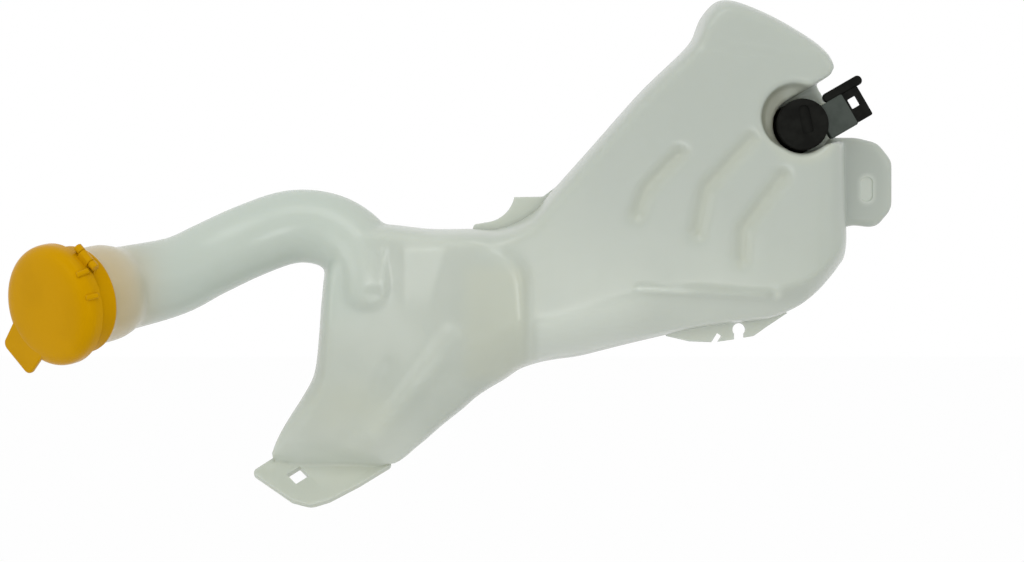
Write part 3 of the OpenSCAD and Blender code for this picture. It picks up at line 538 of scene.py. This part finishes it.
# The foot plate is welded on whole, so that its edges stay crisp, and then the openings are cut.
foot_rings = moved(plate(foot_outline, -FOOT_HALF, FOOT_HALF, 0.8 * MM), FOOT_PLACE)
foot_plate = piece("foot_plate", skin(foot_rings))
weld = tank.modifiers.new("weld", "BOOLEAN")
weld.operation = "UNION"
weld.solver = "MANIFOLD"
weld.object = foot_plate
settle(tank)
bpy.data.objects.remove(foot_plate)
MOUTH_BORE = MM * np.array([(16.5, -53), (17.5, -38), (23.5, -26), (23.5, 4.5), (24.4, 7)])
dimple = MM * rounded_outline([(314, 154, 3.4), (321, 154, 3.4), (321, 168, 3.4), (314, 168, 3.4)])
HOLE_PLACE = FOOT_PLACE @ Matrix.Rotation(np.radians(40), 4, "Z")
carve(tank, skin(moved(turned(MOUTH_BORE, 72), MOUTH_PLACE)),
      skin(moved(block(-4.5, 4.5, -4.5, 4.5, -2.6, 2.6, 0.6, 0.1), HOLE_PLACE)),
      skin(moved(plate(dimple, 5 * MM, 9 * MM, MM), PARTING_PLACE)),
      skin(moved(plate(dimple, -9 * MM, -5 * MM, MM), PARTING_PLACE)))
shade_by_angle(tank, 38)
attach(tank, "reservoir")
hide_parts("tank", "filler_collar")

# Step flange and clip flange
# Flat webs of the tank's own plastic, left along the parting plane when it is blown. The upper one has a
# step and a round scoop, and the lower one a round clip and a slanting slot.
FLANGE = 1.6 * MM
step_outline = MM * rounded_outline([(96, 132, 0), (98.5, 141.5, 2), (104, 142.3, 0), (104, 156.5, 0),
                                     (137, 157, 3), (149, 166, 0), (150, 150, 0), (120, 130, 0)])
step_rings = moved(plate(step_outline, -FLANGE, FLANGE, 0.5 * MM), PARTING_PLACE)
step_flange = piece("step_flange", skin(step_rings))
scoop = turned(MM * np.array([(18, -6), (18, 6)]), 96) + np.array((103.5, 160.5, 0)) * MM
carve(step_flange, skin(moved(scoop, PARTING_PLACE)))
clip_outline = MM * rounded_outline([(206, 79, 0), (219, 76, 4), (233, 75.5, 2), (243, 77, 2), (255, 79, 4),
                                     (262, 84, 8), (274, 92, 0), (262, 95, 0), (206, 90, 0)])
clip_rings = moved(plate(clip_outline, -FLANGE, FLANGE, 0.5 * MM), PARTING_PLACE)
clip_flange = piece("clip_flange_skin", skin(clip_rings))
clip_eye = turned(MM * np.array([(3.6, -6), (3.6, 6)]), 48) + np.array((246.7, 82.6, 0)) * MM
SLOT_PLACE = Matrix.Translation((233.6 * MM, 76.5 * MM, 0)) @ Matrix.Rotation(np.radians(-32), 4, "Z")
clip_slot = moved(block(-1.5, 1.5, -8, 4, -6, 6, 0.4, 0.1), SLOT_PLACE)
carve(clip_flange, skin(moved(clip_eye, PARTING_PLACE)),
      skin(moved(block(243.96, 249.44, 70, 82.6, -6, 6, 0.2, 0.1), PARTING_PLACE)),
      skin(moved(clip_slot, PARTING_PLACE)))
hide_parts("clip_flange")
for flange in (step_flange, clip_flange):
    shade_by_angle(flange, 38)
    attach(flange, "reservoir")

# Milky polyethylene
# Pale green grey with soft clouds, cooler along the neck, with a warm cast beside the raised panel and in
# the grooves, painted olive shade in the rim of the pump pocket, the amber light of the cap painted where
# the neck nears it, painted light and highlights on the neck, edges, facet, bevel, foot and flanges, and
# painted shade on the chamber's face and lug.
MILKY = (0.482, 0.518, 0.452)
CLOUD = (0.452, 0.488, 0.424)
WARM = (0.5, 0.525, 0.425)
AMBER = (0.52, 0.395, 0.2)
SHADE = (0.43, 0.465, 0.414)
OLIVE_SHADE = (0.29, 0.3, 0.235)
COOL = (0.486, 0.546, 0.482)
PAINTED_LIGHT = (0.62, 0.66, 0.59)


def mottle_group():
    """Node group of two noises: one mixes two colours in soft clouds, the other is a fine bump height."""
    group = bpy.data.node_groups.new("mottle", "ShaderNodeTree")
    sockets = (("Base", "NodeSocketColor", (0.5, 0.5, 0.5, 1)),
               ("Cloud", "NodeSocketColor", (0.4, 0.4, 0.4, 1)),
               ("Cloud Scale", "NodeSocketFloat", 15.0),
               ("Grain Scale", "NodeSocketFloat", 900.0))
    for name, kind, start in sockets:
        group.interface.new_socket(name, in_out="INPUT", socket_type=kind).default_value = start
    group.interface.new_socket("Color", in_out="OUTPUT", socket_type="NodeSocketColor")
    group.interface.new_socket("Height", in_out="OUTPUT", socket_type="NodeSocketFloat")
    new, link = group.nodes.new, group.links.new
    given, out = new("NodeGroupInput"), new("NodeGroupOutput")
    place = new("ShaderNodeTexCoord")
    soft, fine = new("ShaderNodeTexNoise"), new("ShaderNodeTexNoise")
    soft.inputs["Detail"].default_value = 3.0
    fine.inputs["Detail"].default_value = 2.0
    spread = new("ShaderNodeMapRange")
    spread.interpolation_type = "SMOOTHSTEP"
    spread.inputs["From Min"].default_value = 0.35
    spread.inputs["From Max"].default_value = 0.68
    blend = new("ShaderNodeMix")
    blend.data_type = "RGBA"
    for noise, scale in ((soft, "Cloud Scale"), (fine, "Grain Scale")):
        link(place.outputs["Object"], noise.inputs["Vector"])
        link(given.outputs[scale], noise.inputs["Scale"])
    link(soft.outputs["Fac"], spread.inputs["Value"])
    link(spread.outputs["Result"], blend.inputs["Factor"])
    link(given.outputs["Base"], blend.inputs["A"])
    link(given.outputs["Cloud"], blend.inputs["B"])
    link(blend.outputs["Result"], out.inputs["Color"])
    link(fine.outputs["Fac"], out.inputs["Height"])
    return group


MOTTLE = mottle_group()


def mottled(name, base, cloud, cloud_scale, grain_scale, bump, **constants):
    """Material with the mottle group on colour and bump; constants are set on the shader's sockets."""
    paint = bpy.data.materials.new(name)
    paint.use_nodes = True
    tree = paint.node_tree
    shader = tree.nodes["Principled BSDF"]
    mix = tree.nodes.new("ShaderNodeGroup")
    mix.node_tree = MOTTLE
    mix.inputs["Base"].default_value = (*base, 1)
    mix.inputs["Cloud"].default_value = (*cloud, 1)
    mix.inputs["Cloud Scale"].default_value = cloud_scale
    mix.inputs["Grain Scale"].default_value = grain_scale
    relief = tree.nodes.new("ShaderNodeBump")
    relief.inputs["Strength"].default_value = bump
    relief.inputs["Distance"].default_value = 0.2 * MM
    tree.links.new(mix.outputs["Color"], shader.inputs["Base Color"])
    tree.links.new(mix.outputs["Height"], relief.inputs["Height"])
    tree.links.new(relief.outputs["Normal"], shader.inputs["Normal"])
    for socket, value in constants.items():
        shader.inputs[socket.replace("_", " ")].default_value = value
    return paint


def tinted(paint, attribute, colour):
    """Lays a colour over the material's base colour, as far as a vertex attribute says."""
    tree = paint.node_tree
    base = tree.nodes["Principled BSDF"].inputs["Base Color"]
    mask = tree.nodes.new("ShaderNodeAttribute")
    mask.attribute_name = attribute
    over = tree.nodes.new("ShaderNodeMix")
    over.data_type = "RGBA"
    over.inputs["B"].default_value = (*colour, 1)
    tree.links.new(mask.outputs["Fac"], over.inputs["Factor"])
    tree.links.new(base.links[0].from_socket, over.inputs["A"])
    tree.links.new(over.outputs["Result"], base)


def paint_mask(obj, name, values):
    """Stores one value a vertex as an attribute."""
    obj.data.attributes.new(name, "FLOAT", "POINT").data.foreach_set("value", values.astype(np.float32))


def fade(values, limits):
    """Rise over the first two limits and fall over the last two, all in millimetres."""
    rise_from, rise_to, fall_from, fall_to = (limit * MM for limit in limits)
    return ease(rise_from, rise_to, values) * (1 - ease(fall_from, fall_to, values))


# Amber light of the cap, seen through the end of the neck
spot = vertex_places(tank)
x, y, z = spot.T
from_mouth = spot - MOUTH
up_neck = from_mouth @ mouth_axis
beside = np.linalg.norm(from_mouth - up_neck[:, None] * mouth_axis, axis=1)
near_cap = ease(-70 * MM, -14 * MM, up_neck) ** 1.6 * (1 - ease(30 * MM, 45 * MM, beside))
paint_mask(tank, "amber", 0.85 * near_cap)

# Painted olive shade in the sunken rim of the pump pocket, deepest on its left side
RIM_HUB = PUMP_HUB[[0, 2]] + RIM_SHIFT
above_floor = 1 - ease(8 * MM, 14 * MM, y)
in_rim = 1 - ease(17.2 * MM, 18.6 * MM, np.hypot(x - RIM_HUB[0], z - RIM_HUB[1]))
rim_left = 1 - ease(262 * MM, 272 * MM, x)
paint_mask(tank, "olive_shade", in_rim * (0.45 + 0.5 * rim_left) * above_floor)

# Warm cast in the grooves, beside the raised panel, in the pocket and low on the leg
groove_cast = sum(peak(near_line(x, z, line), 1.3 * GROOVE_HALF) for line in GROOVES)
panel_cast = fade(x, (88, 100, 122, 139)) * fade(z, (50, 62, 112, 122))
from_pump = np.hypot(x - PUMP_HUB[0], z - PUMP_HUB[2])
pocket_cast = (1 - ease(19 * MM, 24 * MM, from_pump)) * above_floor
leg_cast = 1 - ease(12 * MM, 36 * MM, np.hypot(x - 32 * MM, z - 28 * MM))
warm_cast = 0.6 * groove_cast + 0.6 * panel_cast + 0.4 * pocket_cast + 0.5 * leg_cast
paint_mask(tank, "warm", np.where(y < 12 * MM, np.clip(warm_cast, 0, 1), 0))

# Painted highlights on the lug's dimple, the panel's edge, the facet and the chamber's crease line and dot;
# painted light along the neck, on the lower bevel, on the foot and in the heel's crease
from_lug_dimple = np.hypot(x - 317.5 * MM, np.maximum(np.abs(z - 161 * MM) - 4 * MM, 0))
dimple_highlight = 0.7 * (1 - ease(2.5 * MM, 6 * MM, from_lug_dimple))
neck_light = 0.25 * fade(x, (-75, -40, 60, 135)) * ease(60 * MM, 120 * MM, z)
panel_edge_highlight = 0.35 * peak(np.abs(x - 130 * MM), 3 * MM) * fade(z, (48, 60, 105, 118))
past_facet = x - FACET_FOOT[0] - (z - FACET_FOOT[1]) * FACET_SLOPE
facet_highlight = (0.35 * ease(60 * MM, 62 * MM, x) * (1 - ease(-2 * MM, 2 * MM, past_facet))
              * fade(z, (90, 105, 127, 129)))
BEVEL_BEND = MM * np.array((188, 105.5))
BEVEL_SLOPES = (0.237, -0.057)
past_bend = x - BEVEL_BEND[0]
bevel_z = BEVEL_BEND[1] + past_bend * np.where(past_bend < 0, *BEVEL_SLOPES)
bevel_light = ((0.65 - 0.25 * ease(170 * MM, 200 * MM, x)) * ease(130 * MM, 136 * MM, x)
              * (1 - ease(-8 * MM, 2 * MM, z - bevel_z)))
off_foot = z * np.cos(FOOT_LEAN) - y * np.sin(FOOT_LEAN)
foot_light = 0.1 * (1 - ease(2 * MM, 10 * MM, off_foot)) * (1 - ease(20 * MM, 26 * MM, z))
heel_light = (0.55 * ease(2.2 * MM, 5 * MM, off_foot) * (1 - ease(10 * MM, 48 * MM, z))
             * (1 - ease(60 * MM, 90 * MM, x)))
crease_highlight = 0.6 * peak(near_line(x, z, CREASE_LINE), 2.2 * MM) * (1 - 0.7 * ease(212 * MM, 222 * MM, x))
dot_highlight = 0.6 * peak(np.hypot(x - MOULD_DOT[0], z - MOULD_DOT[1]), 3.5 * MM)
front_light = np.where(y < FRONT_FACE, panel_edge_highlight + facet_highlight + bevel_light + crease_highlight + dot_highlight, 0)
paint_mask(tank, "painted_light", np.clip(dimple_highlight + neck_light + foot_light + heel_light + front_light, 0, 1))
# Painted light on both flanges, so their thin webs stand as light as the tank
for flange in (step_flange, clip_flange):
    paint_mask(flange, "painted_light", np.full(len(flange.data.vertices), 0.3))

# A cooler tone along the neck, and shade on the chamber's face and on the lug
along_neck = fade(x, (-82, -55, 15, 62)) * ease(72 * MM, 105 * MM, z)
paint_mask(tank, "cool", 0.8 * along_neck)
face_shade = 0.8 * ease(112 * MM, 180 * MM, x) * ease(98 * MM, 160 * MM, z)
paint_mask(tank, "shade", np.clip(face_shade + ease(301 * MM, 306 * MM, x), 0, 1))
milky = mottled("milky_polyethylene", MILKY, CLOUD, 17.0, 1200.0, 0.08, Roughness=0.27,
                Specular_IOR_Level=0.45, Subsurface_Weight=0.3, Subsurface_Radius=(1.0, 0.9, 0.7),
                Subsurface_Scale=0.012)
for mask, tint in (("shade", SHADE), ("warm", WARM), ("olive_shade", OLIVE_SHADE), ("amber", AMBER), ("painted_light", PAINTED_LIGHT),
                   ("cool", COOL)):
    tinted(milky, mask, tint)
for part in (tank, step_flange, clip_flange):
    part.data.materials.clear()
    part.data.materials.append(milky)

# Cap ring
# The ring is moulded in yellow plastic and snapped over the collar. Two ears at its upper edge carry the
# hinge pin of the lid.
COLLAR_R = 26.05
HINGE_R = 34.4
YELLOW = (0.54, 0.272, 0.0004)
DEEP_YELLOW = (0.51, 0.256, 0.0004)
ring_profile = MM * np.array([(COLLAR_R, -13), (27.9, -13), (28.35, -12.6), (28.5, -12), (28.4, -11.2),
                              (27.95, -10.6), (27.95, -0.9), (27.7, -0.4), (27.2, -0.3), (COLLAR_R, -0.3)])


def lathe(profile, sides):
    """Vertices and faces of a closed profile of (radius, height) turned about Z into a ring."""
    rings = turned(profile, sides)
    m, n, _ = rings.shape
    i, j = np.meshgrid(np.arange(m), np.arange(n), indexing="ij")
    near, far = (i + 1) % m, (j + 1) % n
    quads = np.stack([i * n + j, i * n + far, near * n + far, near * n + j], axis=-1)
    return rings.reshape(-1, 3), quads.reshape(-1, 4).tolist()


def placed(shell, matrix):
    """A shell carried by a 4 by 4 matrix."""
    return moved(shell[0], matrix), shell[1]


def barrel(radius, y0, y1, x, z):
    """Rings of a short round bar along Y about the line through x and z, its ends rounded."""
    lip = 0.35
    profile = MM * np.array([(0.01, y0), (radius - lip, y0), (radius, y0 + lip), (radius, y1 - lip),
                             (radius - lip, y1), (0.01, y1)])
    along_y = Matrix.Rotation(-np.pi / 2, 4, "X")
    return moved(turned(profile, 32), Matrix.Translation((x * MM, 0, z * MM)) @ along_y)


ears = [skin(moved(part, MOUTH_PLACE)) for y in (-8, 4) for part in (
    barrel(2.2, y, y + 4, -HINGE_R, 0), block(-HINGE_R, -27, y, y + 4, -2.2, -0.5, 0.3, 0.2))]
ring = piece("cap_ring_skin", placed(lathe(ring_profile, 128), MOUTH_PLACE), *ears)
shade_by_angle(ring, 40)
yellow = mottled("yellow_plastic", YELLOW, DEEP_YELLOW, 45.0, 900.0, 0.06, Roughness=0.24,
                 Specular_IOR_Level=0.12, Specular_Tint=(1.0, 0.78, 0.06, 1.0))
ring.data.materials.append(yellow)
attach(ring, "reservoir")
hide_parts("cap_ring")

# Cap lid
# The lid is moulded in the same yellow plastic: a shallow dome with a skirt, a plug that seals the mouth, a
# finger tab and two short ribs at its edge. It turns on the ring's pin.
dome_rows = [(0.01, 11.5), (9, 11.48), (17, 11.35), (24, 10.9), (28, 9.9), (30.5, 8), (31.7, 5.6), (32, 3)]
dome = spline(np.array(dome_rows), np.linspace(0, len(dome_rows) - 1, 43))
lid_inside = np.array([(32, 0.6), (31.7, 0.3), (30, 0.3), (29.8, 0.6), (29.7, 5), (28.6, 7.4), (25.8, 8.4),
                       (25.8, 6.1), (22.4, 6.1), (22.4, 5.5), (21.2, 0.8), (19.8, 0.8), (20.4, 9.1),
                       (0.01, 9.3)])
lid_shell = skin(moved(turned(MM * np.vstack([dome, lid_inside])[::-1], 128), MOUTH_PLACE))
tab_outline = MM * rounded_outline([(22, -13, 0), (40.5, -12, 4), (40.5, 12, 4), (22, 13, 0)])
tab = skin(moved(plate(tab_outline, 7.4 * MM, 10.4 * MM, 1.1 * MM), MOUTH_PLACE))
hinge = [skin(moved(part, MOUTH_PLACE)) for part in (
    barrel(2.2, -3.8, 3.8, -HINGE_R, 0), block(-HINGE_R, -30.3, -3.8, 3.8, 0.5, 2.2, 0.3, 0.2))]
RIB_TURNS = (-12, -36)
RIB_SEAT = Matrix.Translation((-31.5 * MM, 0, 6 * MM)) @ Matrix.Rotation(np.radians(24), 4, "Y")
rib = block(-1.6, 1.8, -1.5, 1.5, -3.4, 3.4, 1.2, 0.7)
ribs = [skin(moved(rib, MOUTH_PLACE @ Matrix.Rotation(np.radians(turn), 4, "Z") @ RIB_SEAT))
        for turn in RIB_TURNS]
lid = piece("cap_lid_skin", lid_shell, tab, *hinge, *ribs)
shade_by_angle(lid, 40)
lid.data.materials.append(yellow)
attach(lid, "lid")
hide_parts("cap_lid")

# Pump end cap
# Black moulded cap of the motor with the plug socket on its side: a round cover with an arched recess, the
# socket's shroud, a latch loop for the harness plug and a guide rail with a round end.
BLACK = (0.0055, 0.0057, 0.0047)
SOFT_BLACK = (0.0095, 0.0098, 0.0082)
SHROUD_SHEEN = (0.04, 0.049, 0.041)
SOFT_SHROUD_SHEEN = (0.052, 0.062, 0.053)
cover_profile = MM * np.array([(0.01, 49.7), (9, 49.75), (12.2, 49.9), (12.9, 50), (13.5, 49.8),
                               (13.9, 49.3), (14, 48.4), (14, 40), (12.4, 40), (12.4, 47.2), (0.01, 47.2)])
cover = piece("pump_cover", skin(moved(turned(cover_profile[::-1], 96), PUMP_PLACE)))
recess_outline = MM * rounded_outline([(-2.6, -5, 1.2), (3.4, -5, 1.2), (3.4, 10.6, 2.9), (-2.6, 10.6, 2.9)])
RECESS_PLACE = PUMP_PLACE @ Matrix.Translation((1.6 * MM, 0, 0)) @ Matrix.Rotation(np.radians(12), 4, "Z")
carve(cover, skin(moved(plate(recess_outline, 48.6 * MM, 54 * MM, 0.3 * MM), RECESS_PLACE)))
shade_by_angle(cover, 35)
shroud = piece("plug_shroud", skin(moved(block(10, 27, -14.8, 3.9, 38.4, 47.4, 1.6, 0.8), PLUG_PLACE)))
carve(shroud, skin(moved(block(17, 30, -11.5, 2.3, 40, 45.8, 0.6, 0.2), PLUG_PLACE)),
      skin(moved(block(0, 14, -20, 20, 30, 40, 0.2, 0.1), PLUG_PLACE)),
      skin(moved(turned(MM * np.array([(12.5, 39), (12.5, 47.3)]), 64), PUMP_PLACE)))
shade_by_angle(shroud, 35)
latch = piece("plug_latch", skin(moved(block(26.2, 36, -14.2, 3.5, 43.4, 47.4, 1.0, 0.5), PLUG_PLACE)))
carve(latch, skin(moved(block(27.6, 32.8, -6.3, -0.7, 40, 50, 0.5, 0.2), PLUG_PLACE)))
shade_by_angle(latch, 35)
rail = piece("plug_rail", skin(moved(block(17, 40.5, 3.2, 8.5, 41.4, 46.4, 2.5, 0.9), PLUG_PLACE)))
shade_by_angle(rail, 35)
black = mottled("black_plastic", BLACK, SOFT_BLACK, 160.0, 2600.0, 0.25, Roughness=0.5,
                Specular_IOR_Level=0.05)
# The shroud is painted a lighter grey black than the other black parts: a painted sheen on its flat top face
shroud_sheen_paint = mottled("black_plastic_painted_sheen", SHROUD_SHEEN, SOFT_SHROUD_SHEEN, 120.0, 2600.0, 0.2, Roughness=0.5,
               Specular_IOR_Level=0.2)
for part, paint in ((cover, black), (shroud, shroud_sheen_paint), (latch, black), (rail, black)):
    part.data.materials.clear()
    part.data.materials.append(paint)
    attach(part, "reservoir")
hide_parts("end_cap")

# Pump and motor
# These pieces keep their shape from the frame: the pump body and motor housing in black plastic, rubber
# seals, a steel flux ring with ferrite magnets, the wound armature with its copper commutator, and the
# brushes.
rubber = mottled("black_rubber", (0.012, 0.012, 0.012), (0.022, 0.021, 0.02), 200.0, 1800.0, 0.3,
                 Roughness=0.75)
strainer = mottled("white_plastic", (0.74, 0.74, 0.7), (0.68, 0.68, 0.63), 120.0, 1500.0, 0.1, Roughness=0.4)
steel = mottled("steel", (0.56, 0.57, 0.59), (0.44, 0.45, 0.47), 150.0, 3000.0, 0.15,
                Roughness=0.32, Metallic=1.0)
ferrite = mottled("ferrite", (0.05, 0.05, 0.055), (0.09, 0.09, 0.095), 260.0, 2200.0, 0.3, Roughness=0.6)
copper = mottled("copper_wire", (0.62, 0.29, 0.14), (0.5, 0.2, 0.09), 300.0, 2400.0, 0.4,
                 Roughness=0.3, Metallic=1.0)
bronze = mottled("bronze", (0.55, 0.39, 0.19), (0.46, 0.31, 0.14), 220.0, 2600.0, 0.2,
                 Roughness=0.36, Metallic=1.0)
board = mottled("board", (0.34, 0.24, 0.12), (0.28, 0.19, 0.09), 240.0, 1800.0, 0.2, Roughness=0.6)
carbon = mottled("carbon", (0.02, 0.02, 0.021), (0.035, 0.035, 0.036), 400.0, 2600.0, 0.3, Roughness=0.55)
INNER_PIECES = (
    (black, ("pump_volute", "motor_housing", "impeller")),
    (rubber, ("pump_grommet", "volute_seal", "shaft_seal")),
    (strainer, ("inlet_strainer",)),
    (steel, ("flux_ring", "armature_core", "motor_shaft", "brush_spring_left", "brush_spring_right")),
    (ferrite, ("magnet_upper", "magnet_lower")),
    (copper, ("armature_windings", "commutator")),
    (bronze, ("front_bush", "rear_bush", "terminal_left", "terminal_right")),
    (board, ("brush_plate",)),
    (carbon, ("brush_left", "brush_right")))
for paint, names in INNER_PIECES:
    for name in names:
        part = nodes_of[name]
        part.data.materials.clear()
        part.data.materials.append(paint)
